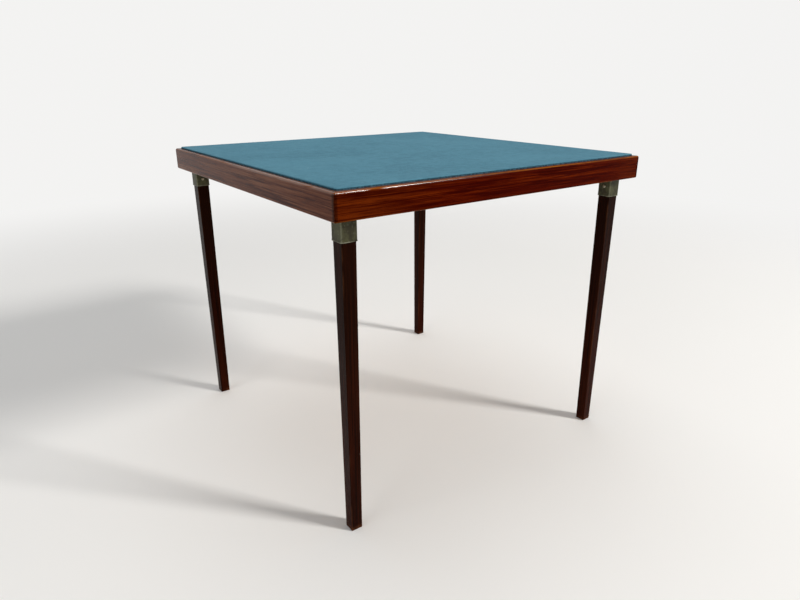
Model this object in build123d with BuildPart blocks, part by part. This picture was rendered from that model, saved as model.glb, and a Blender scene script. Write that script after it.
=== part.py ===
from build123d import *
import os

# Folding card table, in millimetres, standing on its feet.
# The origin is on the floor under the middle of the top. The front is towards -Y.
# Each leg folds inwards along one rail, and the four follow each other round the frame,
# so one corner is modelled, at the front left, and turned in quarter turns to the others.

# Frame of four mitred rails
frame_width = 762.0
frame_top = 652.5
rail_height = 47.5
rail_thickness = 21.0
frame_corner_radius = 3.5
rail_top_arris = 4.0
rail_bottom_arris = 3.5
lip_arris = 0.6

# Playing panel and its baize cover
panel_inset = 10.0
panel_rise = 3.8
panel_thickness = 6.0
panel_edge_radius = 1.2
cover_thickness = 1.0
cover_turn_in = 10.0
cover_corner_radius = 5.0
cover_gap = 1.0

# Wooden legs, measured over the wood
leg_inset = 40.5
leg_top_width = 28.0
leg_foot_width = 22.6
leg_arris = 1.4
foot_chamfer = 0.9

# Steel sleeve round the head of each leg
sleeve_thickness = 1.8
sleeve_drop = 39.7
sleeve_corner_radius = 3.2
sleeve_rim_height = 1.8
sleeve_rim_lip = 0.4
head_swing_radius = 9.0
head_back_radius = 13.5

# Round-head screws through the sleeve, at their drops below the rails
sleeve_screw_radius = 1.5
sleeve_screw_length = 12.0
sleeve_screw_head_radius = 3.4
sleeve_screw_head_height = 2.1
inner_screw_drop = 18.5
swing_screw_drop = 23.2

# Pressed corner bracket
plate_thickness = 2.0
bracket_bend_radius = 1.0
bracket_reach = 46.0
bracket_lift = 1.0
lug_radius = 12.0
lug_foot_width = 5.0
outer_cheek_drop = 1.0
inner_cheek_rise = 6.0
cheek_corner_radius = 4.0
stop_width = 18.0
stop_height = 9.0
stop_foot_gap = 1.5
stop_clearance = 0.3
stop_corner_radius = 2.0

# Leaf spring over the leg's head
spring_thickness = 1.2
spring_width = 18.0
spring_clearance = 0.3
spring_flex_room = 3.3
spring_clamp_length = 17.0
spring_crank_length = 12.0
spring_overhang = 8.0
spring_tip_length = 4.0
spring_tip_rise = 2.2
spring_bend_radius = 3.0
spring_corner_radius = 1.5

# Rivets that hold the spring
rivet_radius = 1.6
rivet_head_radius = 3.0
rivet_head_height = 1.0
rivet_sink_radius = 2.6
rivet_pitch = 7.0
rivet_end_distance = 5.0

# Hinge pin and washers
pin_radius = 3.0
pin_head_radius = 5.0
pin_head_height = 2.6
pin_sink_radius = 4.4
pin_fit = 0.02
running_clearance = 0.06
bore_clearance = 0.3
washer_radius = 7.0
side_clearance = 0.125

# Countersunk screws, into the rails and up into the panel
rail_screw_radius = 1.75
rail_screw_head_radius = 3.5
rail_screw_length = 16.0
panel_screw_radius = 1.5
panel_screw_head_radius = 3.0
panel_screw_length = 6.5
screw_point_length = 3.0
slot_width = 0.9
slot_depth = 0.8
sink_angle = 90
web_screw_spacing = 18.0
web_screw_rise = 9.0
cheek_screw_end_distance = 8.0
cheek_screw_pitch = 12.0
cheek_screw_rise = 10.0
panel_screw_near = 4.0
panel_screw_end_distance = 8.0
panel_screw_spacing = 25.2

# How far every cutting tool runs past what it cuts
cut_overrun = 5.0

# Heights and half widths that follow from the sizes above
half_frame = frame_width / 2
rail_inner = half_frame - rail_thickness
rail_bottom = frame_top - rail_height
table_height = frame_top + panel_rise
panel_bottom = table_height - cover_thickness - panel_thickness
rebate_floor = panel_bottom - cover_thickness
cover_width = frame_width - 2 * panel_inset
panel_width = cover_width - 2 * cover_thickness
rebate_width = cover_width + 2 * cover_gap
leg_centre = half_frame - leg_inset
sleeve_width = leg_top_width + 2 * sleeve_thickness
sleeve_half = sleeve_width / 2
sleeve_bottom = rail_bottom - sleeve_drop
cheek_inner = leg_inset - rail_thickness - plate_thickness
cheek_outer = cheek_inner + plate_thickness
plate_underside = panel_bottom - plate_thickness
spring_bearing = plate_underside - spring_flex_room - spring_thickness
pivot_height = spring_bearing - spring_clearance - sleeve_half
top_rise = panel_bottom - pivot_height
plate_rise = plate_underside - pivot_height
bracket_bottom_rise = rail_bottom + bracket_lift - pivot_height
washer_thickness = cheek_inner - sleeve_half - 2 * side_clearance

# Planes through the front left pivot: seen from the front, from the right and from above
pivot_point = (-leg_centre, -leg_centre, pivot_height)
side_view = Plane(origin=pivot_point, x_dir=(1, 0, 0), z_dir=(0, -1, 0))
end_view = Plane(origin=pivot_point, x_dir=(0, 1, 0), z_dir=(1, 0, 0))
plan_view = Plane(origin=pivot_point, x_dir=(1, 0, 0), z_dir=(0, 0, 1))
pin_axis = Axis(pivot_point, (0, 1, 0))

corner_names = ["front_left", "front_right", "back_right", "back_left"]
rail_names = ["front_rail", "right_rail", "back_rail", "left_rail"]
corner_count = len(corner_names)
quarter_turn = 360 / corner_count

os.makedirs("parts", exist_ok=True)


def screw_seat(along, inward, up, facing):
    """The plane of a screw head's face, placed from the pivot and facing out of the metal."""
    seat = (pivot_point[0] + along, pivot_point[1] + inward, pivot_height + up)
    return Plane(origin=seat, z_dir=facing)


# Seats of the screws, each where the screw's head meets the metal
web_screw_seats = [
    screw_seat(-cheek_inner, side * web_screw_spacing / 2, web_screw_rise, (1, 0, 0))
    for side in (-1, 1)
]
last_cheek_screw = bracket_reach - cheek_screw_end_distance
cheek_screw_seats = [
    screw_seat(along, -cheek_inner, cheek_screw_rise, (0, 1, 0))
    for along in (last_cheek_screw - cheek_screw_pitch, last_cheek_screw)
]
rail_screw_seats = web_screw_seats + cheek_screw_seats
panel_screw_seats = [
    screw_seat(along, side * panel_screw_spacing / 2, plate_rise, (0, 0, -1))
    for along in (panel_screw_near, bracket_reach - panel_screw_end_distance)
    for side in (-1, 1)
]
sleeve_screw_seats = [
    screw_seat(0, sleeve_half, rail_bottom - inner_screw_drop - pivot_height, (0, 1, 0)),
    screw_seat(sleeve_half, 0, rail_bottom - swing_screw_drop - pivot_height, (1, 0, 0)),
]
first_rivet = bracket_reach - rivet_end_distance
rivet_seats = [
    screw_seat(along, 0, plate_rise - spring_thickness, (0, 0, -1))
    for along in (first_rivet, first_rivet - rivet_pitch)
]


def countersunk_screw(shank_radius, head_radius, length):
    """A slotted countersunk screw that points down, with its flat face at zero."""
    with BuildPart() as screw:
        with BuildSketch(Plane.XZ):
            Polygon(
                (0, 0),
                (head_radius, 0),
                (shank_radius, shank_radius - head_radius),
                (shank_radius, screw_point_length - length),
                (0, -length),
                align=None,
            )
        revolve(axis=Axis.Z)
        with BuildSketch(Plane.XY):
            Rectangle(2 * head_radius + cut_overrun, slot_width)
        extrude(amount=-slot_depth, mode=Mode.SUBTRACT)
    return screw.part


def domed_outline(head_radius, head_height, seat):
    """The arc of a domed head from its crown to its rim, in a sketch with the axis upright."""
    return TangentArc((0, seat + head_height), (head_radius, seat), tangent=(1, 0))


# The frame is one moulding first, with its rebate and screw holes, and the mitres divide it
with BuildPart() as frame_ring:
    with BuildSketch(Plane.XY.offset(rail_bottom)):
        Rectangle(frame_width, frame_width)
        Rectangle(2 * rail_inner, 2 * rail_inner, mode=Mode.SUBTRACT)
    extrude(amount=rail_height)
    outer_faces = frame_ring.faces().filter_by(Plane.XY, reverse=True).group_by(SortBy.AREA)[-1]
    fillet(outer_faces.edges().filter_by(Axis.Z), frame_corner_radius)
    fillet(frame_ring.faces().sort_by(Axis.Z)[-1].outer_wire().edges(), rail_top_arris)
    fillet(frame_ring.faces().sort_by(Axis.Z)[0].outer_wire().edges(), rail_bottom_arris)
    with BuildSketch(Plane.XY.offset(rebate_floor)):
        RectangleRounded(rebate_width, rebate_width, cover_corner_radius + cover_gap)
    extrude(amount=frame_top - rebate_floor + cut_overrun, mode=Mode.SUBTRACT)
    chamfer(frame_ring.faces().sort_by(Axis.Z)[-1].inner_wires()[0].edges(), lip_arris)
    with PolarLocations(0, corner_count):
        with Locations(*rail_screw_seats):
            Hole(rail_screw_radius, rail_screw_length)

with BuildPart() as front_rail:
    add(frame_ring.part)
    split(bisect_by=Plane(origin=(0, 0, 0), z_dir=(-1, -1, 0)), keep=Keep.TOP)
    split(bisect_by=Plane(origin=(0, 0, 0), z_dir=(1, -1, 0)), keep=Keep.TOP)

for turn, rail_name in enumerate(rail_names):
    with BuildPart() as rail:
        add(front_rail.part, rotation=(0, 0, quarter_turn * turn))
    rail.part.label = rail_name
    export_step(rail.part, f"parts/{rail_name}.step")

# Plywood panel that lies in the rebate
with BuildPart() as top_panel:
    with BuildSketch(Plane.XY.offset(panel_bottom)):
        RectangleRounded(panel_width, panel_width, cover_corner_radius - cover_thickness)
    extrude(amount=panel_thickness)
    fillet(top_panel.faces().sort_by(Axis.Z)[-1].edges(), panel_edge_radius)
    with PolarLocations(0, corner_count):
        with Locations(*panel_screw_seats):
            Hole(panel_screw_radius, panel_screw_length)
top_panel.part.label = "top_panel"
export_step(top_panel.part, "parts/top_panel.step")

# Baize drawn over the panel's edge and glued down round its underside
with BuildPart() as baize_cover:
    with BuildSketch(Plane.XY.offset(rebate_floor)):
        RectangleRounded(cover_width, cover_width, cover_corner_radius)
    extrude(amount=table_height - rebate_floor)
    fillet(baize_cover.faces().sort_by(Axis.Z)[-1].edges(), panel_edge_radius + cover_thickness)
    with BuildSketch(Plane.XY.offset(rebate_floor)):
        Rectangle(cover_width - 2 * cover_turn_in, cover_width - 2 * cover_turn_in)
    extrude(amount=cover_thickness, mode=Mode.SUBTRACT)
    with BuildSketch(Plane.XY.offset(panel_bottom)):
        RectangleRounded(panel_width, panel_width, cover_corner_radius - cover_thickness)
    extrude(amount=panel_thickness, mode=Mode.SUBTRACT)
baize_cover.part.label = "baize_cover"
export_step(baize_cover.part, "parts/baize_cover.step")


def head_form(width, swing_radius, back_radius, edge_radius):
    """A leg's head with rounded shoulders, from the sleeve's lower end to the top."""
    head_length = pivot_height + width / 2 - sleeve_bottom
    with BuildPart() as head:
        with BuildSketch(side_view) as shoulders:
            with Locations((0, width / 2)):
                Rectangle(width, head_length, align=(Align.CENTER, Align.MAX))
            back_corner = shoulders.vertices().group_by(Axis.X)[0].sort_by(Axis.Y)[-1]
            fillet(back_corner, back_radius)
            swing_corner = shoulders.vertices().group_by(Axis.X)[-1].sort_by(Axis.Y)[-1]
            fillet(swing_corner, swing_radius)
        extrude(amount=width / 2, both=True)
        fillet(head.edges().filter_by(Axis.Z), edge_radius)
    return head.part


sleeve_form = head_form(sleeve_width, head_swing_radius, head_back_radius, sleeve_corner_radius)
wood_form = head_form(
    leg_top_width,
    head_swing_radius - sleeve_thickness,
    head_back_radius - sleeve_thickness,
    sleeve_corner_radius - sleeve_thickness,
)

# Steel sleeve, drawn as a cap over the wooden head, with a thicker rim round its open lower end
rim_width = sleeve_width + 2 * sleeve_rim_lip
with BuildPart() as leg_sleeve:
    add(sleeve_form)
    with BuildSketch(Plane(origin=(-leg_centre, -leg_centre, sleeve_bottom))):
        RectangleRounded(rim_width, rim_width, sleeve_corner_radius + sleeve_rim_lip)
    extrude(amount=sleeve_rim_height)
    add(wood_form, mode=Mode.SUBTRACT)
    with BuildSketch(side_view):
        Circle(pin_radius + running_clearance)
    extrude(amount=sleeve_width, both=True, mode=Mode.SUBTRACT)
    with Locations(*sleeve_screw_seats):
        Hole(sleeve_screw_radius, sleeve_screw_length)

# Leg: the head inside the sleeve and one long taper down to the foot
with BuildPart() as leg:
    with BuildSketch(Plane(origin=(-leg_centre, -leg_centre, 0))):
        RectangleRounded(leg_foot_width, leg_foot_width, leg_arris)
    with BuildSketch(Plane(origin=(-leg_centre, -leg_centre, sleeve_bottom))):
        RectangleRounded(leg_top_width, leg_top_width, leg_arris)
    loft()
    chamfer(leg.faces().sort_by(Axis.Z)[0].edges(), foot_chamfer)
    add(wood_form)
    with BuildSketch(side_view):
        Circle(pin_radius + bore_clearance)
    extrude(amount=sleeve_width, both=True, mode=Mode.SUBTRACT)
    with Locations(*sleeve_screw_seats):
        Hole(sleeve_screw_radius, sleeve_screw_length)

# Round-head screw that points down, with the underside of its head at zero
with BuildPart() as round_screw:
    with BuildSketch(Plane.XZ):
        with BuildLine():
            domed_outline(sleeve_screw_head_radius, sleeve_screw_head_height, 0)
            Polyline(
                (0, sleeve_screw_head_height),
                (0, -sleeve_screw_length),
                (sleeve_screw_radius, screw_point_length - sleeve_screw_length),
                (sleeve_screw_radius, 0),
                (sleeve_screw_head_radius, 0),
            )
        make_face()
    revolve(axis=Axis.Z)
    with BuildSketch(Plane.XY.offset(sleeve_screw_head_height)):
        Rectangle(2 * sleeve_screw_head_radius + cut_overrun, slot_width)
    extrude(amount=-slot_depth, mode=Mode.SUBTRACT)

with BuildPart() as sleeve_screws:
    with Locations(*sleeve_screw_seats):
        add(round_screw.part)

rail_screw = countersunk_screw(rail_screw_radius, rail_screw_head_radius, rail_screw_length)
panel_screw = countersunk_screw(panel_screw_radius, panel_screw_head_radius, panel_screw_length)

with BuildPart() as bracket_screws:
    with Locations(*rail_screw_seats):
        add(rail_screw)

with BuildPart() as panel_screws:
    with PolarLocations(0, corner_count):
        with Locations(*panel_screw_seats):
            add(panel_screw)
panel_screws.part.label = "panel_screws"
export_step(panel_screws.part, "parts/panel_screws.step")


def cheek_outline(lower_rise):
    """What stays of a cheek: a foot along the web, the lug round the pin and a strip under the plate."""
    with BuildSketch() as outline:
        with Locations((-cheek_outer, top_rise)):
            Rectangle(
                lug_foot_width + plate_thickness,
                top_rise - bracket_bottom_rise,
                align=(Align.MIN, Align.MAX),
            )
            Rectangle(cheek_outer + lug_radius, top_rise, align=(Align.MIN, Align.MAX))
            Rectangle(cheek_outer + bracket_reach, top_rise - lower_rise, align=(Align.MIN, Align.MAX))
        Circle(lug_radius)
        lower_tip = outline.vertices().group_by(Axis.X)[-1].sort_by(Axis.Y)[0]
        fillet(lower_tip, cheek_corner_radius)
    return outline.sketch


outer_cheek = cheek_outline(-outer_cheek_drop)
inner_cheek = cheek_outline(inner_cheek_rise)

# Corner bracket: one pressing with a top plate, a web behind the leg and a cheek on each side
with BuildPart() as corner_bracket:
    with BuildSketch(plan_view.offset(top_rise)):
        with Locations((-cheek_outer, 0)):
            Rectangle(cheek_outer + bracket_reach, 2 * cheek_outer, align=(Align.MIN, Align.CENTER))
    extrude(amount=bracket_bottom_rise - top_rise)
    bend_edges = corner_bracket.edges().filter_by(Axis.Z).group_by(Axis.X)[0]
    top_edges = corner_bracket.faces().sort_by(Axis.Z)[-1].edges().sort_by(Axis.X)[:-1]
    fillet(bend_edges + top_edges, plate_thickness + bracket_bend_radius)
    open_sides = [corner_bracket.faces().sort_by(Axis.Z)[0], corner_bracket.faces().sort_by(Axis.X)[-1]]
    offset(amount=-plate_thickness, openings=open_sides)
    for view_side, outline in ((1, outer_cheek), (-1, inner_cheek)):
        with BuildSketch(side_view.offset(view_side * sleeve_half)):
            with Locations((bracket_bend_radius - cheek_inner, plate_rise)):
                Rectangle(
                    cheek_inner + bracket_reach + cut_overrun,
                    plate_rise - bracket_bottom_rise + cut_overrun,
                    align=(Align.MIN, Align.MAX),
                )
            add(outline, mode=Mode.SUBTRACT)
        extrude(amount=view_side * cheek_outer, mode=Mode.SUBTRACT)
    stop_rise = bracket_bottom_rise + stop_foot_gap + stop_height / 2
    with BuildSketch(end_view.offset(-cheek_inner)):
        with Locations((0, stop_rise)):
            RectangleRounded(stop_width, stop_height, stop_corner_radius)
    extrude(amount=cheek_inner - sleeve_half - stop_clearance)
    with BuildSketch(end_view.offset(-cheek_outer)):
        with Locations((0, stop_rise)):
            RectangleRounded(
                stop_width - 2 * plate_thickness,
                stop_height - 2 * plate_thickness,
                stop_corner_radius / 2,
            )
    extrude(amount=cheek_inner - sleeve_half - stop_clearance, mode=Mode.SUBTRACT)
    with BuildSketch(side_view):
        Circle(pin_radius + pin_fit)
    extrude(amount=cheek_outer + cut_overrun, both=True, mode=Mode.SUBTRACT)
    with Locations(screw_seat(0, -cheek_outer, 0, (0, -1, 0))):
        CounterSinkHole(pin_radius + pin_fit, pin_sink_radius, plate_thickness, sink_angle)
    with Locations(*rail_screw_seats):
        CounterSinkHole(rail_screw_radius, rail_screw_head_radius, plate_thickness, sink_angle)
    with Locations(*panel_screw_seats):
        CounterSinkHole(panel_screw_radius, panel_screw_head_radius, plate_thickness, sink_angle)
    with Locations(*[seat.offset(-spring_thickness - plate_thickness).reverse() for seat in rivet_seats]):
        CounterSinkHole(rivet_radius, rivet_sink_radius, plate_thickness, sink_angle)

# Leaf spring: clamped along the plate, cranked down, flat over the leg's head and turned up at its tip
clamp_rise = plate_rise - spring_thickness / 2
bearing_rise = spring_bearing - pivot_height + spring_thickness / 2
clamp_start = bracket_reach - spring_clamp_length
with BuildPart() as leg_spring:
    with BuildSketch(side_view):
        with BuildLine():
            FilletPolyline(
                (bracket_reach, clamp_rise),
                (clamp_start, clamp_rise),
                (clamp_start - spring_crank_length, bearing_rise),
                (-spring_overhang, bearing_rise),
                (-spring_overhang - spring_tip_length, bearing_rise + spring_tip_rise),
                radius=spring_bend_radius,
            )
        trace(line_width=spring_thickness)
    extrude(amount=spring_width / 2, both=True)
    fillet(leg_spring.edges().filter_by(Axis.Z).group_by(Axis.X)[-1], spring_corner_radius)
    with Locations(*rivet_seats):
        Hole(rivet_radius, spring_thickness)

# Rivet that points down: a low dome under the spring and a flush end in the plate
rivet_length = spring_thickness + plate_thickness
with BuildPart() as rivet:
    with BuildSketch(Plane.XZ):
        with BuildLine():
            domed_outline(rivet_head_radius, rivet_head_height, 0)
            Polyline(
                (0, rivet_head_height),
                (0, -rivet_length),
                (rivet_sink_radius, -rivet_length),
                (rivet_radius, rivet_sink_radius - rivet_radius - rivet_length),
                (rivet_radius, 0),
                (rivet_head_radius, 0),
            )
        make_face()
    revolve(axis=Axis.Z)

with BuildPart() as spring_rivets:
    with Locations(*rivet_seats):
        add(rivet.part)

# Hinge pin, with a domed head inside the frame and a flush end against the rail
with BuildPart() as hinge_pin:
    with BuildSketch(plan_view):
        with BuildLine():
            domed_outline(pin_head_radius, pin_head_height, cheek_outer)
            Polyline(
                (0, cheek_outer + pin_head_height),
                (0, -cheek_outer),
                (pin_sink_radius, -cheek_outer),
                (pin_radius, pin_sink_radius - pin_radius - cheek_outer),
                (pin_radius, cheek_outer),
                (pin_head_radius, cheek_outer),
            )
        make_face()
    revolve(axis=pin_axis)

with BuildPart() as hinge_washers:
    for view_side in (1, -1):
        with BuildSketch(side_view.offset(view_side * (sleeve_half + side_clearance))):
            Circle(washer_radius)
            Circle(pin_radius + running_clearance, mode=Mode.SUBTRACT)
        extrude(amount=view_side * washer_thickness)

corner_forms = {
    "corner_bracket": corner_bracket,
    "bracket_screws": bracket_screws,
    "leg_spring": leg_spring,
    "spring_rivets": spring_rivets,
    "hinge_pin": hinge_pin,
    "hinge_washers": hinge_washers,
    "leg": leg,
    "leg_sleeve": leg_sleeve,
    "sleeve_screws": sleeve_screws,
}

for turn, corner_name in enumerate(corner_names):
    for form_name, form in corner_forms.items():
        with BuildPart() as corner_piece:
            add(form.part, rotation=(0, 0, quarter_turn * turn))
        corner_piece.part.label = f"{form_name}_{corner_name}"
        export_step(corner_piece.part, f"parts/{form_name}_{corner_name}.step")
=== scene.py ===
import bpy
import math
import numpy as np
from mathutils import Matrix, Vector


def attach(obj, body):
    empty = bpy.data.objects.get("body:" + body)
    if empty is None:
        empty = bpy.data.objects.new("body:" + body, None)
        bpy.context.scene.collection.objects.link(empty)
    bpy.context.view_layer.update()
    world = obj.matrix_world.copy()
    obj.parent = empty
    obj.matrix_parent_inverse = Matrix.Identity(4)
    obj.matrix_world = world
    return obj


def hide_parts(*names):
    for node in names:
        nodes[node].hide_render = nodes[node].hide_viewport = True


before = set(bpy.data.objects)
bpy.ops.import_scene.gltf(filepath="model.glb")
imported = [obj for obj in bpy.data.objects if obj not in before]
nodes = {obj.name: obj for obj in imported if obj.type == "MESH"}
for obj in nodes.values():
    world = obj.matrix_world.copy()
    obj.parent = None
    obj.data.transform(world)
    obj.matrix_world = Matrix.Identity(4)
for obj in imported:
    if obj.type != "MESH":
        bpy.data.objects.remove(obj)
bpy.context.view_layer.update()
corners = ["front_left", "front_right", "back_right", "back_left"]
print("Frame loaded:", len(nodes), "nodes")


# What every finish is made with

class Signal:
    # one output of a shader node; arithmetic on signals adds Math nodes
    def __init__(self, finish, socket):
        self.finish = finish
        self.socket = socket

    def math(self, operation, *values):
        return self.finish.node("Math", {"operation": operation}, dict(enumerate(values)))

    def __add__(self, other):
        return self.math("ADD", self, other)

    def __radd__(self, other):
        return self.math("ADD", other, self)

    def __sub__(self, other):
        return self.math("SUBTRACT", self, other)

    def __rsub__(self, other):
        return self.math("SUBTRACT", other, self)

    def __mul__(self, other):
        return self.math("MULTIPLY", self, other)

    def __rmul__(self, other):
        return self.math("MULTIPLY", other, self)

    def __truediv__(self, other):
        return self.math("DIVIDE", self, other)

    def __pow__(self, other):
        return self.math("POWER", self, other)

    def __abs__(self):
        return self.math("ABSOLUTE", self)

    def most(self, other):
        return self.math("MAXIMUM", self, other)

    def least(self, other):
        return self.math("MINIMUM", self, other)

    # 0 below low, 1 above high and a smooth step between; low may be the larger one
    def step(self, low, high):
        ends = {"Value": self, "From Min": low, "From Max": high}
        return self.finish.node("MapRange", {"interpolation_type": "SMOOTHSTEP"}, ends)


class Finish:
    # one material and the nodes that feed its shader
    def __init__(self, name):
        self.material = bpy.data.materials.new(name)
        self.material.use_nodes = True
        self.tree = self.material.node_tree
        self.shader = self.tree.nodes["Principled BSDF"]
        self.place = self.node("TexCoord", {}, {}, "Object")
        self.x, self.y, self.z = (self.node("SeparateXYZ", {}, {0: self.place}, axis) for axis in "XYZ")

    def node(self, kind, settings, sockets, output=0):
        made = self.tree.nodes.new("ShaderNode" + kind)
        for key, value in settings.items():
            setattr(made, key, value)
        for key, value in sockets.items():
            self.feed(made.inputs[key], value)
        return Signal(self, made.outputs[output])

    def feed(self, socket, value):
        if isinstance(value, Signal):
            self.tree.links.new(value.socket, socket)
        else:
            socket.default_value = value

    # the object's coordinates, turned about Z in degrees, stretched by scale and moved by shift
    def stretched(self, scale, turn=0, shift=(0, 0, 0)):
        turned = self.node("Mapping", {}, {"Vector": self.place, "Rotation": (0, 0, math.radians(turn))})
        return self.node("Mapping", {}, {"Vector": turned, "Scale": scale, "Location": shift})

    def noise(self, where, scale=1, detail=2, rough=0.5, swirl=0):
        sockets = {"Vector": where, "Scale": scale, "Detail": detail, "Roughness": rough, "Distortion": swirl}
        return self.node("TexNoise", {}, sockets)

    # noise drawn out along the grain; a layer is its scale on each axis, its start on Y and Z,
    # detail, roughness and swirl
    def grain(self, layer, turn=0, shift=0):
        scale, start, detail, rough, swirl = layer
        return self.noise(self.stretched(scale, turn, (shift, *start)), 1, detail, rough, swirl)

    # distance to the nearest of scattered points
    def cells(self, where, scale):
        return self.node("TexVoronoi", {}, {"Vector": where, "Scale": scale}, "Distance")

    def mix(self, share, first, second):
        return self.node("Mix", {"data_type": "RGBA"}, {0: share, 6: first, 7: second}, 2)

    # colour, roughness and the rest go to the shader; height is a surface height in metres
    def finish(self, height=None, **sockets):
        for key, value in sockets.items():
            self.feed(self.shader.inputs[key.replace("_", " ")], value)
        if height is not None:
            bump = self.node("Bump", {}, {"Strength": 1.0, "Distance": 1.0, "Height": height})
            self.feed(self.shader.inputs["Normal"], bump)
        return self.material


# a colour as an image shows it, 0 to 255, made linear for the shader
def shown(red, green, blue):
    def linear(level):
        share = level / 255
        return share / 12.92 if share <= 0.04045 else ((share + 0.055) / 1.055) ** 2.4
    return (linear(red), linear(green), linear(blue), 1)


def dress(nodeName, material):
    thing = nodes[nodeName]
    thing.data.materials.clear()
    thing.data.materials.append(material)


# Camera, lamps and floor

# metres and radians; the focal length is in pixels of an image of this width
view = {
    "place": (-0.8300, -1.1693, 0.8110), "yaw": -0.6262, "pitch": 0.3483, "roll": 0.0024,
    "focal": 610.7, "width": 800, "sensor": 36,
}


# ahead is Y turned by yaw about Z and tipped down by pitch; roll turns the picture about it
def makeCamera():
    data = bpy.data.cameras.new("photoCamera")
    data.sensor_width = view["sensor"]
    data.lens = view["focal"] / view["width"] * data.sensor_width
    camera = bpy.data.objects.new("photoCamera", data)
    bpy.context.scene.collection.objects.link(camera)
    yaw, pitch, roll = view["yaw"], view["pitch"], view["roll"]
    ahead = Vector((-math.sin(yaw) * math.cos(pitch), math.cos(yaw) * math.cos(pitch), -math.sin(pitch)))
    level = Vector((math.cos(yaw), math.sin(yaw), 0))
    down = ahead.cross(level)
    right = math.cos(roll) * level + math.sin(roll) * down
    up = math.sin(roll) * level - math.cos(roll) * down
    turn = Matrix((right, up, -ahead)).transposed().to_4x4()
    camera.matrix_world = Matrix.Translation(view["place"]) @ turn
    bpy.context.scene.camera = camera


# each lamp: where it stands, what it points at, its size in metres, watts and colour
lamps = {
    "main": {"place": (4.2, -6.0, 4.6), "aim": (0, 0, 0.55), "size": 1.3, "power": 570,
             "colour": (1.0, 0.985, 0.96)},
    "leftFill": {"place": (-5.1, -1.0, 2.3), "aim": (0, 0, 0.5), "size": 3.5, "power": 66,
                 "colour": (0.95, 0.98, 1.0)},
    "above": {"place": (0.5, 1.2, 5.2), "aim": (0, 0, 0.6), "size": 4.0, "power": 76,
              "colour": (1.0, 1.0, 1.0)},
}


def makeLamps():
    for name, lamp in lamps.items():
        data = bpy.data.lights.new(name, "AREA")
        data.shape = "SQUARE"
        data.size = lamp["size"]
        data.energy = lamp["power"]
        data.color = lamp["colour"]
        thing = bpy.data.objects.new(name, data)
        thing.location = lamp["place"]
        thing.rotation_mode = "QUATERNION"
        aim = Vector(lamp["aim"]) - Vector(lamp["place"])
        thing.rotation_quaternion = aim.to_track_quat("-Z", "Y")
        bpy.context.scene.collection.objects.link(thing)


studio = {
    "light": (0.86, 0.88, 0.90, 1), "strength": 0.30, "backdrop": (0.90, 0.895, 0.885, 1),
    "floor": (0.90, 0.885, 0.86, 1), "floorSize": 60, "floorRough": 0.75, "fade": (1.3, 3.6),
    "mottleScale": 0.8, "mottleDark": 0.97,
}


# the world lights softly, and the camera and what shines see the pale backdrop
def makeWorld():
    world = bpy.data.worlds.new("studio")
    bpy.context.scene.world = world
    world.use_nodes = True
    tree = world.node_tree
    tree.nodes.clear()
    light = tree.nodes.new("ShaderNodeBackground")
    light.inputs["Color"].default_value = studio["light"]
    light.inputs["Strength"].default_value = studio["strength"]
    backdrop = tree.nodes.new("ShaderNodeBackground")
    backdrop.inputs["Color"].default_value = studio["backdrop"]
    path = tree.nodes.new("ShaderNodeLightPath")
    seen = tree.nodes.new("ShaderNodeMath")
    seen.operation = "MAXIMUM"
    mix = tree.nodes.new("ShaderNodeMixShader")
    out = tree.nodes.new("ShaderNodeOutputWorld")
    tree.links.new(path.outputs["Is Camera Ray"], seen.inputs[0])
    tree.links.new(path.outputs["Is Glossy Ray"], seen.inputs[1])
    tree.links.new(seen.outputs[0], mix.inputs[0])
    tree.links.new(light.outputs[0], mix.inputs[1])
    tree.links.new(backdrop.outputs[0], mix.inputs[2])
    tree.links.new(mix.outputs[0], out.inputs[0])


# a square floor that turns into the backdrop with distance, so that no horizon shows
def makeFloor():
    half = studio["floorSize"] / 2
    mesh = bpy.data.meshes.new("floor")
    points = [(-half, -half, 0), (half, -half, 0), (half, half, 0), (-half, half, 0)]
    mesh.from_pydata(points, [], [(0, 1, 2, 3)])
    floor = bpy.data.objects.new("floor", mesh)
    bpy.context.scene.collection.objects.link(floor)
    paint = Finish("floorPaint")
    mottle = paint.noise(paint.place, studio["mottleScale"], 3)
    darker = tuple(studio["mottleDark"] * level for level in studio["floor"][:3]) + (1,)
    tone = paint.mix(mottle, studio["floor"], darker)
    mesh.materials.append(paint.finish(Base_Color=tone, Roughness=studio["floorRough"]))
    away = (paint.x ** 2 + paint.y ** 2) ** 0.5
    cameraRay = paint.node("LightPath", {}, {}, "Is Camera Ray")
    glossyRay = paint.node("LightPath", {}, {}, "Is Glossy Ray")
    faded = away.step(*studio["fade"]) * cameraRay.most(glossyRay)
    near = Signal(paint, paint.shader.outputs[0])
    glow = paint.node("Emission", {}, {"Color": studio["backdrop"]})
    swept = paint.node("MixShader", {}, {0: faded, 1: near, 2: glow})
    paint.feed(paint.tree.nodes["Material Output"].inputs["Surface"], swept)


makeCamera()
makeLamps()
makeWorld()
makeFloor()
bpy.context.scene.view_settings.view_transform = "Standard"
print("Camera, lamps and floor ready")


# Frame of four varnished rails

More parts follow.
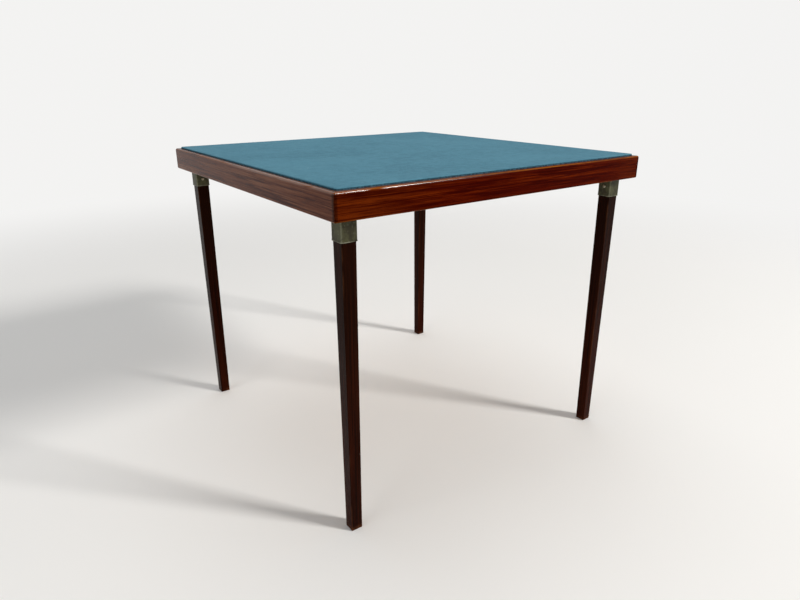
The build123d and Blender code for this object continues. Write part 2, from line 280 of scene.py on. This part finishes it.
# Bands, fades and depths are in metres: a band or fade from where it starts to where it is full,
# a depth is the height of that layer's relief.
rails = {
    "top": 0.6525, "bottom": 0.6050, "outside": 0.3810, "shiftPerRail": 1.7,
    "slow": ((2.4, 48, 48), (0, 0), 5, 0.62, 0.6),
    "streaks": ((7, 340, 340), (3, 5), 5, 0.68, 0.5),
    "fine": ((22, 1100, 1100), (7, 2), 3, 0.6, 0),
    "pores": ((45, 1900, 1900), (1, 9), 2, 0.5, 0),
    "patchy": ((11, 70, 70), (4, 4), 5, 0.65, 0),
    "smears": ((6, 30, 30), (8, 1), 4, 0.6, 0),
    "nickScale": (60, 110, 110), "nickStart": (2, 2),
    "arris": (0.0030, 0.0014), "lowArris": (0.0032, 0.0016), "corner": (0.0075, 0.0045),
    "lipWidth": (0.0056, 0.0066), "lipDepth": (0.0014, 0.0006),
    "paleLeft": (-0.12, -0.38), "paleRight": (0.26, 0.37),
    "thick": (0.0042, 0.0030), "thickLeft": (0.02, -0.16), "thickFront": (0.20, -0.20),
    "rough": 0.15, "coat": 0.65, "coatRough": 0.16, "coatTint": (1.0, 0.95, 0.88, 1),
    "fineDepth": 0.00003, "poreDepth": 0.00004, "slowDepth": 0.00016, "nickDepth": 0.0001,
    "poreAndCornerShade": shown(22, 3, 1),
}
# the front and back rails keep their red stain; the other two have paler, greyer colours that are a painted
# reflection of a bright room on their varnish
redWood = {
    "heartwood": shown(64, 7, 0), "darkStreak": shown(44, 2, 0), "lightStreak": shown(96, 30, 2),
    "paleEnd": shown(100, 42, 8), "wornAndHighlitEdge": shown(150, 84, 18), "lip": shown(128, 76, 26),
    "shine": 0.012, "shineTint": (1.0, 0.30, 0.05, 1),
}
sheenPaintedWood = {
    "heartwood": shown(86, 40, 22), "darkStreak": shown(56, 22, 14), "lightStreak": shown(136, 94, 70),
    "paleEnd": shown(100, 58, 38), "wornAndHighlitEdge": shown(146, 84, 38), "lip": shown(138, 100, 74),
    "shine": 0.05, "shineTint": (1.0, 1.0, 1.0, 1),
}
# the turn in degrees lays the grain along the rail
railLooks = {
    "front_rail": (0, redWood), "right_rail": (-90, sheenPaintedWood),
    "back_rail": (0, redWood), "left_rail": (-90, sheenPaintedWood),
}


def makeRailWood(name, turn, stain, shift):
    wood = Finish(name + "Wood")
    slow = wood.grain(rails["slow"], turn, shift)
    streaks = wood.grain(rails["streaks"], turn, shift)
    fine = wood.grain(rails["fine"], turn, shift)
    pores = wood.grain(rails["pores"], turn, shift).step(0.60, 0.70)
    patchy = wood.grain(rails["patchy"], turn, shift)
    smears = wood.grain(rails["smears"], turn, shift)
    # streaked heartwood, paler towards the ends, with dark bands, fine lines and pores
    tone = wood.mix(streaks.step(0.36, 0.58), stain["darkStreak"], stain["heartwood"])
    light = (slow.step(0.38, 0.66) * streaks.step(0.46, 0.64)).least(0.85)
    tone = wood.mix(light, tone, stain["lightStreak"])
    ends = wood.x.step(*rails["paleLeft"]) + wood.x.step(*rails["paleRight"]) * 0.4
    tone = wood.mix(ends * streaks.step(0.36, 0.60) * 0.5, tone, stain["paleEnd"])
    tone = wood.mix(slow.step(0.44, 0.30) * 0.35, tone, stain["darkStreak"])
    tone = wood.mix(fine.step(0.46, 0.28) * 0.6, tone, stain["darkStreak"])
    tone = wood.mix(pores * 0.4, tone, rails["poreAndCornerShade"])
    # how far a point lies in from the outer faces, below the top and above the bottom
    inward = rails["outside"] - abs(wood.x).most(abs(wood.y))
    drop = rails["top"] - wood.z
    rise = wood.z - rails["bottom"]
    topArris = inward.step(*rails["arris"]) * drop.step(*rails["arris"])
    bottomArris = inward.step(*rails["lowArris"]) * rise.step(*rails["arris"])
    lip = inward.step(*rails["lipWidth"]) * drop.step(*rails["lipDepth"])
    cornerShadeStart, cornerShadeEnd = (2 * rails["outside"] - inset for inset in rails["corner"])
    corner = (abs(wood.x) + abs(wood.y)).step(cornerShadeStart, cornerShadeEnd)
    # varnish rubbed thin on the rounded arrises and the lip, in patches; the upright corners are darkened as
    # painted shade where the rounded corner turns away from the light
    dents = wood.cells(wood.stretched(rails["nickScale"], turn, (shift, *rails["nickStart"])), 1)
    nicks = dents.step(0.16, 0.08) * patchy.step(0.58, 0.66)
    # the top arris is paler partly from real rubbed varnish and partly as a painted highlight along the edge
    rubbedAndHighlitTop = topArris * 0.7 * patchy.step(0.30, 0.58)
    rubbedBottom = bottomArris * 0.45 * patchy.step(0.38, 0.64)
    worn = (rubbedAndHighlitTop + rubbedBottom + nicks * 0.35).least(0.85)
    # painted shade: the upright corners take the dark pore colour
    tone = wood.mix(corner * (1 - topArris) * 0.6, tone, rails["poreAndCornerShade"])
    tone = wood.mix(worn, tone, stain["wornAndHighlitEdge"])
    tone = wood.mix(lip * patchy.step(0.2, 0.6) * 0.75, tone, stain["lip"])
    gloss = rails["rough"] + smears * 0.12 + worn * 0.08 + pores * 0.1
    # thick varnish shines along the top arris, mostly near the front left corner
    thick = inward.step(*rails["thick"]) * drop.step(*rails["thick"]) * patchy.step(0.66, 0.54)
    thick = thick * (wood.x.step(*rails["thickLeft"]) * wood.y.step(*rails["thickFront"]) * 0.9 + 0.1)
    relief = (fine - 0.5) * rails["fineDepth"] - pores * rails["poreDepth"]
    relief = relief + (slow - 0.5) * rails["slowDepth"] - nicks * rails["nickDepth"]
    return wood.finish(
        height=relief, Base_Color=tone, Roughness=gloss,
        Specular_IOR_Level=stain["shine"], Specular_Tint=stain["shineTint"],
        Coat_Weight=thick * rails["coat"], Coat_Roughness=rails["coatRough"], Coat_Tint=rails["coatTint"])


for index, (railName, (turn, stain)) in enumerate(railLooks.items()):
    dress(railName, makeRailWood(railName, turn, stain, rails["shiftPerRail"] * index))
print("Rails varnished")


# Legs, darker than the frame and with upright grain

legs = {
    "centre": 0.3405, "topHalf": 0.0140, "footHalf": 0.0113, "sleeveBottom": 0.5653,
    "slow": ((40, 40, 1.5), (0, 0), 4, 0.55, 0.4),
    "streaks": ((300, 300, 4.0), (0, 0), 5, 0.6, 0.2),
    "pores": ((1500, 1500, 40), (0, 0), 2, 0.5, 0),
    "patchy": ((45, 45, 7), (0, 0), 5, 0.7, 0),
    "smears": ((30, 30, 5), (0, 0), 4, 0.6, 0),
    "redder": (0.50, 0.02), "foot": (0.012, 0.001), "footWear": 0.40, "arrisWear": 0.30,
    "rough": 0.18, "shine": 0.035, "shineTint": (1.0, 0.50, 0.28, 1),
    "streakDepth": 0.00010, "poreDepth": 0.00005,
    "brown": shown(28, 8, 3), "dark": shown(13, 2, 1), "red": shown(60, 19, 6), "worn": shown(104, 62, 36),
}


def makeLegWood():
    wood = Finish("legWood")
    slow = wood.grain(legs["slow"])
    streaks = wood.grain(legs["streaks"])
    pores = wood.grain(legs["pores"]).step(0.60, 0.72)
    patchy = wood.grain(legs["patchy"])
    smears = wood.grain(legs["smears"])
    # dark and brown streaks, red patches, redder towards the foot, and dark pores
    tone = wood.mix(streaks.step(0.32, 0.64), legs["dark"], legs["brown"])
    tone = wood.mix(slow.step(0.50, 0.78) * streaks.step(0.4, 0.7) * 0.8, tone, legs["red"])
    tone = wood.mix(wood.z.step(*legs["redder"]) * streaks.step(0.30, 0.62) * 0.55, tone, legs["red"])
    tone = wood.mix(pores * 0.5, tone, legs["dark"])
    # distances from the leg's middle in half widths at that height add up to 2 at an arris
    along = wood.z / legs["sleeveBottom"]
    half = legs["footHalf"] + along * (legs["topHalf"] - legs["footHalf"])
    aside = abs(abs(wood.x) - legs["centre"]) / half
    deep = abs(abs(wood.y) - legs["centre"]) / half
    arris = (aside + deep).step(1.80, 1.93)
    wornArris = arris * patchy.step(0.46, 0.66) * legs["arrisWear"]
    wornFoot = wood.z.step(*legs["foot"]) * patchy.step(0.35, 0.6) * legs["footWear"]
    worn = (wornArris + wornFoot).least(0.85)
    tone = wood.mix(worn, tone, legs["worn"])
    gloss = legs["rough"] + smears * 0.16 + worn * 0.15
    relief = (streaks - 0.5) * legs["streakDepth"] - pores * legs["poreDepth"]
    return wood.finish(height=relief, Base_Color=tone, Roughness=gloss,
                       Specular_IOR_Level=legs["shine"], Specular_Tint=legs["shineTint"])


legWood = makeLegWood()
for corner in corners:
    dress("leg_" + corner, legWood)
print("Legs varnished")


# Steel: sleeves, brackets, springs, pins and screws

metals = {
    "sleeve": {"steel": shown(68, 67, 43), "dull": shown(42, 38, 22), "bright": shown(138, 138, 118),
               "metallic": 0.70, "rough": 0.42, "scratch": 0.45, "rust": 0.10},
    "bracket": {"steel": shown(150, 146, 124), "dull": shown(104, 98, 78), "bright": shown(196, 194, 182),
                "metallic": 0.85, "rough": 0.40, "scratch": 0.25, "rust": 0.18},
    "spring": {"steel": shown(86, 88, 98), "dull": shown(48, 48, 56), "bright": shown(150, 152, 160),
               "metallic": 0.9, "rough": 0.30, "scratch": 0.3, "rust": 0.12},
    "screw": {"steel": shown(176, 168, 150), "dull": shown(116, 106, 86), "bright": shown(214, 208, 194),
              "metallic": 0.9, "rough": 0.32, "scratch": 0.3, "rust": 0.15},
    "pin": {"steel": shown(170, 168, 164), "dull": shown(110, 106, 100), "bright": shown(216, 214, 210),
            "metallic": 0.95, "rough": 0.27, "scratch": 0.35, "rust": 0.08},
}
# what all of them share; plain noise is scale, detail, roughness and swirl
plating = {
    "clouds": (60, 5, 0.65, 0.6), "specks": (900, 3, 0.6), "rustSpots": (130, 5, 0.7),
    "hairs": ((1400, 90, 160), (0, 0), 2, 0.5, 0), "hairTurn": 23,
    "crossHairs": ((110, 1300, 200), (0, 0), 2, 0.5, 0), "crossTurn": -31,
    "speckDepth": 0.00002, "scratchDepth": 0.00001, "cloudDepth": 0.00012,
    "rust": shown(104, 66, 38), "sleeveCorner": (0.0284, 0.0300), "sleeveRim": (0.0022, 0.0004),
}


# clouded and scratched plating with spots of rust; edges says where it is made brighter, by rubbed wear and a
# painted highlight
def makeSteel(name, edges=None):
    look = metals[name]
    steel = Finish(name + "Steel")
    clouds = steel.noise(steel.place, *plating["clouds"])
    specks = steel.noise(steel.place, *plating["specks"])
    hairs = steel.grain(plating["hairs"], plating["hairTurn"]).step(0.66, 0.74)
    crossHairs = steel.grain(plating["crossHairs"], plating["crossTurn"]).step(0.68, 0.75)
    tone = steel.mix(clouds.step(0.36, 0.66), look["dull"], look["steel"])
    tone = steel.mix(specks.step(0.60, 0.78) * 0.4, tone, look["dull"])
    scratches = (hairs + crossHairs).least(1) * look["scratch"]
    tone = steel.mix(scratches, tone, look["bright"])
    gloss = look["rough"] + clouds * 0.14
    if edges:
        rubbedAndHighlit = edges(steel) * clouds.step(0.30, 0.62)
        tone = steel.mix(rubbedAndHighlit * 0.75, tone, look["bright"])
        gloss = gloss - rubbedAndHighlit * 0.12
    rust = steel.noise(steel.place, *plating["rustSpots"]).step(0.64, 0.76) * look["rust"]
    tone = steel.mix(rust, tone, plating["rust"])
    relief = (specks - 0.5) * plating["speckDepth"] - scratches * plating["scratchDepth"]
    relief = relief + (clouds - 0.5) * plating["cloudDepth"]
    return steel.finish(height=relief, Base_Color=tone, Roughness=gloss + rust * 0.4,
                        Metallic=look["metallic"] - rust)


# a sleeve's lower rim and four upright corners are painted bright, partly real rubbed wear and partly a
# painted highlight where they catch the light
def sleeveWearAndHighlight(steel):
    aside = abs(abs(steel.x) - legs["centre"])
    deep = abs(abs(steel.y) - legs["centre"])
    upright = (aside + deep).step(*plating["sleeveCorner"])
    rimStart, rimEnd = (legs["sleeveBottom"] + height for height in plating["sleeveRim"])
    return (upright * 0.5 + steel.z.step(rimStart, rimEnd)).least(1)


steels = {"sleeve": makeSteel("sleeve", sleeveWearAndHighlight)}
for metal in ("bracket", "spring", "screw", "pin"):
    steels[metal] = makeSteel(metal)
metalPieces = {
    "leg_sleeve": "sleeve", "corner_bracket": "bracket", "leg_spring": "spring", "spring_rivets": "screw",
    "bracket_screws": "screw", "sleeve_screws": "screw", "hinge_pin": "pin", "hinge_washers": "pin",
}
for corner in corners:
    for piece, metal in metalPieces.items():
        dress(piece + "_" + corner, steels[metal])
dress("panel_screws", steels["screw"])
print("Steel plated")


# Plywood panel under the cloth

board = {
    "underside": 0.6493, "plies": 0.0020, "edge": (0.3690, 0.3699),
    "figure": ((1.5, 12, 40), (0, 0), 5, 0.55, 1.2), "grain": ((7, 380, 60), (0, 0), 4, 0.6, 0),
    "stains": (5, 4, 0.6), "rough": 0.62, "grainDepth": 0.00006,
    "pale": shown(196, 156, 108), "brown": shown(150, 104, 64), "glue": shown(84, 54, 34),
}


def makeBoard():
    ply = Finish("panelPly")
    figure = ply.grain(board["figure"])
    grain = ply.grain(board["grain"])
    tone = ply.mix(grain.step(0.3, 0.7), board["brown"], board["pale"])
    tone = ply.mix(figure.step(0.35, 0.68), tone, board["pale"])
    # the middle one of three plies shows darker, cross-grained, on the edge
    level = (ply.z - board["underside"]) / board["plies"]
    middle = level.step(0.95, 1.05) * level.step(2.05, 1.95)
    outside = abs(ply.x).most(abs(ply.y)).step(*board["edge"])
    tone = ply.mix(middle * outside * 0.7, tone, board["glue"])
    stain = ply.noise(ply.place, *board["stains"]).step(0.55, 0.8)
    tone = ply.mix(stain * 0.25, tone, board["glue"])
    return ply.finish(height=(grain - 0.5) * board["grainDepth"], Base_Color=tone,
                      Roughness=board["rough"] + grain * 0.15)


dress("top_panel", makeBoard())
print("Panel board ready")


# Baize drawn over the panel

baize = {
    "halfWidth": 0.3710, "top": 0.6563, "under": 0.6483, "corner": 0.0050, "edge": 0.0022, "fold": 0.0010,
    "turnIn": 0.0100, "thickness": 0.0010,
    "topRings": 84, "edgeRings": 6, "sideRings": 3, "foldRings": 3, "underRings": 3,
    "ripple": 0.00028, "waves": 26, "waveLengths": (0.035, 0.22), "waveCrowd": 3, "seed": 41,
    "calmFrom": 0.002, "calmWidth": 0.02,
    "broad": (4.5, 4, 0.6, 0.4), "mottle": (55, 4, 0.65), "nap": (1100, 3, 0.7), "pile": (300, 3, 0.7),
    "fibres": ((260, 1500, 300), (0, 0), 3, 0.6, 0), "fibreTurn": 38,
    "crossFibres": ((1500, 240, 300), (0, 0), 3, 0.6, 0), "crossTurn": 12,
    "lintScale": 46, "lintPatches": (16, 2), "raggedShadeEdge": (240, 2), "grooveShade": (0.0004, 0.0022),
    "napDepth": 0.00022, "fibreDepth": 0.00007, "mottleDepth": 0.00015,
    "rough": 0.94, "shine": 0.15, "sheen": 0.08, "sheenRough": 0.5, "sheenTint": shown(150, 190, 205),
    "teal": shown(80, 129, 147), "deep": shown(62, 107, 125), "faded": shown(98, 146, 163),
    "lint": shown(160, 188, 196), "grubbyAndGrooveShade": shown(24, 48, 60),
}


# The cloth is a square net of rings round its middle. A ring's place on the profile gives its
# half width and height: flat over the top, a quarter turn over the edge, down the side, a quarter
# turn and back in under the panel.
def clothProfile():
    b = baize
    quarter = math.pi / 2
    flat = np.linspace(0, b["halfWidth"] - b["edge"], b["topRings"] + 1)
    turn = np.linspace(0, quarter, b["edgeRings"] + 1)[1:]
    side = np.linspace(b["top"] - b["edge"], b["under"] + b["fold"], b["sideRings"] + 1)[1:]
    tuck = np.linspace(0, quarter, b["foldRings"] + 1)[1:]
    under = np.linspace(b["halfWidth"] - b["fold"], b["halfWidth"] - b["turnIn"], b["underRings"] + 1)[1:]
    half = np.concatenate([
        flat, b["halfWidth"] - b["edge"] + b["edge"] * np.sin(turn), np.full(side.shape, b["halfWidth"]),
        b["halfWidth"] - b["fold"] + b["fold"] * np.cos(tuck), under])
    height = np.concatenate([
        np.full(flat.shape, b["top"]), b["top"] - b["edge"] + b["edge"] * np.cos(turn), side,
        b["under"] + b["fold"] - b["fold"] * np.sin(tuck), np.full(under.shape, b["under"])])
    return half, height


# A ring is a square whose corners are rounded by what its inset leaves of the corner radius: the
# share of the way from the middle of a side to the corner is a length along the straight part,
# then along the arc.
def makeCloth():
    b = baize
    eighth = math.pi / 4
    half, height = clothProfile()
    count = len(half) - 1
    step = np.arange(-count, count + 1)
    across, along = np.meshgrid(step, step, indexing="ij")
    ring = np.maximum(abs(across), abs(along))
    sideways = abs(across) >= abs(along)
    main = np.where(sideways, across, along)
    other = np.where(sideways, along, across)
    width = half[ring]
    radius = np.clip(b["corner"] - (b["halfWidth"] - width), 0, None)
    straight = width - radius
    run = abs(other) / np.maximum(ring, 1) * (straight + radius * eighth)
    angle = np.clip((run - straight) / np.maximum(radius, 1e-9), 0, eighth)
    bent = run > straight
    far = np.where(bent, straight + radius * np.cos(angle), width) * np.sign(main)
    near = np.where(bent, straight + radius * np.sin(angle), run) * np.sign(other)
    x = np.where(sideways, far, near)
    y = np.where(sideways, near, far)
    calm = np.clip((b["halfWidth"] + b["calmFrom"] - width) / b["calmWidth"], 0, 1)
    z = height[ring] + rippleHeight(x, y) * calm * (ring <= b["topRings"])
    points = np.stack([x, y, z], axis=-1).reshape(-1, 3)
    size = 2 * count + 1
    index = np.arange(size * size).reshape(size, size)
    quads = np.stack([index[:-1, :-1], index[1:, :-1], index[1:, 1:], index[:-1, 1:]], axis=-1).reshape(-1, 4)
    mesh = bpy.data.meshes.new("baize_cloth")
    mesh.from_pydata(points.tolist(), [], quads.tolist())
    mesh.polygons.foreach_set("use_smooth", np.ones(len(quads), bool))
    cloth = bpy.data.objects.new("baize_cloth", mesh)
    bpy.context.scene.collection.objects.link(cloth)
    wall = cloth.modifiers.new("thickness", "SOLIDIFY")
    wall.thickness = b["thickness"]
    wall.offset = -1
    return cloth


# slack in the cloth: a sum of plane waves in all directions, the long ones higher, squeezed and
# raised so that none dips below the flat top
def rippleHeight(x, y):
    rng = np.random.default_rng(baize["seed"])
    shortest, longest = baize["waveLengths"]
    total = np.zeros(x.shape)
    for wave in range(baize["waves"]):
        length = rng.uniform(shortest, longest)
        heading = rng.uniform(0, math.pi)
        phase = rng.uniform(0, 6.28)
        distance = x * math.cos(heading) + y * math.sin(heading)
        total += length / longest * np.sin(distance * 2 * math.pi / length + phase)
    return baize["ripple"] * (np.tanh(total / baize["waveCrowd"]) + 1)


def makeBaizeFinish():
    felt = Finish("tealBaize")
    broad = felt.noise(felt.place, *baize["broad"])
    mottle = felt.noise(felt.place, *baize["mottle"])
    nap = felt.noise(felt.place, *baize["nap"])
    pile = felt.noise(felt.place, *baize["pile"])
    fibres = felt.grain(baize["fibres"], baize["fibreTurn"])
    crossFibres = felt.grain(baize["crossFibres"], baize["crossTurn"])
    patches = broad.step(0.32, 0.68) * 0.5 + mottle.step(0.36, 0.64) * 0.45 + pile.step(0.34, 0.58) * 0.3
    tone = felt.mix(patches.least(1), baize["deep"], baize["teal"])
    tone = felt.mix(pile.step(0.54, 0.74) * 0.35, tone, baize["faded"])
    tone = felt.mix(pile.step(0.40, 0.24) * 0.45, tone, baize["grubbyAndGrooveShade"])
    tone = felt.mix(nap.step(0.50, 0.30) * 0.5, tone, baize["deep"])
    threads = (fibres.step(0.60, 0.72) + crossFibres.step(0.60, 0.72)).least(1)
    tone = felt.mix(threads * 0.22, tone, baize["faded"])
    # sparse lint, and painted shade with a ragged edge on the cloth's side, where it turns down into the
    # groove beside the rails
    linty = felt.noise(felt.place, *baize["lintPatches"]).step(0.52, 0.62)
    specks = felt.cells(felt.place, baize["lintScale"]).step(0.075, 0.035) * linty
    tone = felt.mix(specks * 0.55, tone, baize["lint"])
    # painted shade: the cloth's side below the top is darkened, with a ragged edge
    raggedShadeEdge = felt.noise(felt.place, *baize["raggedShadeEdge"]).step(0.42, 0.56)
    grooveShadeStart, grooveShadeEnd = (baize["top"] - drop for drop in baize["grooveShade"])
    tone = felt.mix(felt.z.step(grooveShadeStart, grooveShadeEnd) * (0.55 + raggedShadeEdge * 0.4), tone, baize["grubbyAndGrooveShade"])
    relief = (nap - 0.5) * baize["napDepth"] + (fibres + crossFibres) * baize["fibreDepth"]
    relief = relief + (mottle - 0.5) * baize["mottleDepth"]
    return felt.finish(
        height=relief, Base_Color=tone, Roughness=baize["rough"], Specular_IOR_Level=baize["shine"],
        Sheen_Weight=baize["sheen"], Sheen_Roughness=baize["sheenRough"], Sheen_Tint=baize["sheenTint"])


cloth = makeCloth()
cloth.data.materials.append(makeBaizeFinish())
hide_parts("baize_cover")
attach(cloth, "frame")
# the flat top, two quarter turns, the side and the turn-in, on both sides of the middle
cutWidth = 2 * (baize["halfWidth"] - baize["edge"]
                + (baize["edge"] + baize["fold"]) * math.pi / 2
                + baize["top"] - baize["under"] - baize["edge"] - baize["fold"]
                + baize["turnIn"] - baize["fold"])
print("Cloth cut", round(cutWidth, 4))


print("Scene ready")
